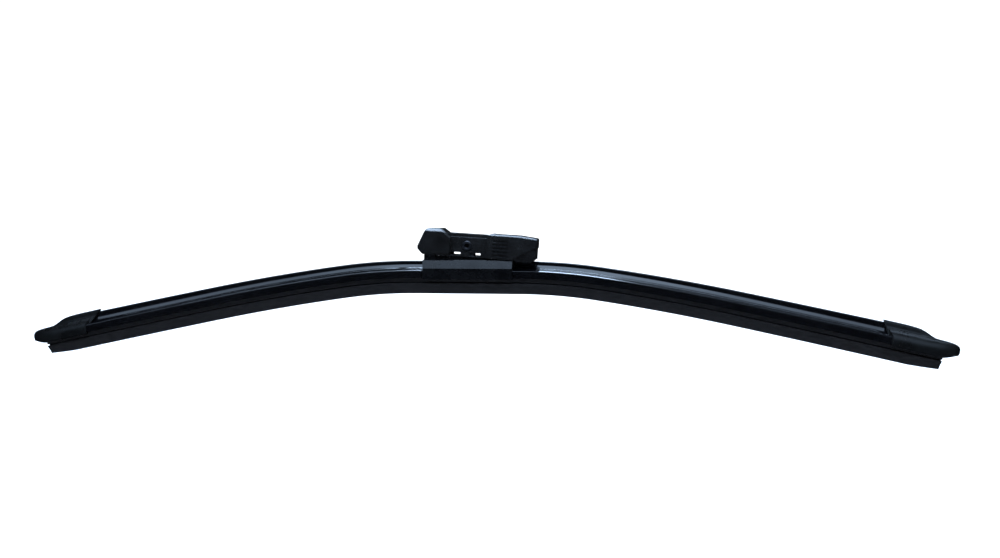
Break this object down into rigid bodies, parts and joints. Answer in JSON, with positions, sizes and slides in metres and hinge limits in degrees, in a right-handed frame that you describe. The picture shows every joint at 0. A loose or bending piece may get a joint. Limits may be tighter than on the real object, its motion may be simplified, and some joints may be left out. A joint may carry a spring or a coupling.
{
  "type": "wiper blade",
  "caption": "Flat curved wiper blade with a hollow-fronted spoiler fin, beaked end caps and a rocking clip-on arm adapter.",
  "frame": {"origin": "on the axis of the pivot rivet, midway between the adapter's walls", "axes": "+X along the blade towards the adapter's ribbed tail, +Z away from the glass, Y across the blade with its hollow spoiler side at minus Y"},
  "size_m": [0.5438, 0.017, 0.0772],
  "materials": {
    "rubber": "matte black, moulded lip",
    "spring_steel": "bare spring steel",
    "spoiler": "black, smooth, satin gloss",
    "cap": "black, satin",
    "pressed_steel": "zinc plated, dull",
    "cover": "dark grey, matte",
    "rivet": "blackened steel",
    "adapter": "black, fine grain",
    "grip": "black, fine grain"
  },
  "bodies": {
    "adapter": {"adapter_body": "adapter", "grip_cover": "grip", "pivot_rivet": "rivet"},
    "blade": {"bracket": "pressed_steel", "connector_cover": "cover", "wiping_rubber": "rubber", "rail_front": "spring_steel", "rail_back": "spring_steel", "spoiler_left": "spoiler", "spoiler_right": "spoiler", "end_cap_left": "cap", "end_cap_right": "cap"}
  },
  "joints": [
    {"name": "blade_rock", "type": "hinge", "parent": "adapter", "child": "blade", "pos_m": [0, 0, 0], "axis": [0, 1, 0], "range_deg": [0, 7.6]}
  ]
}
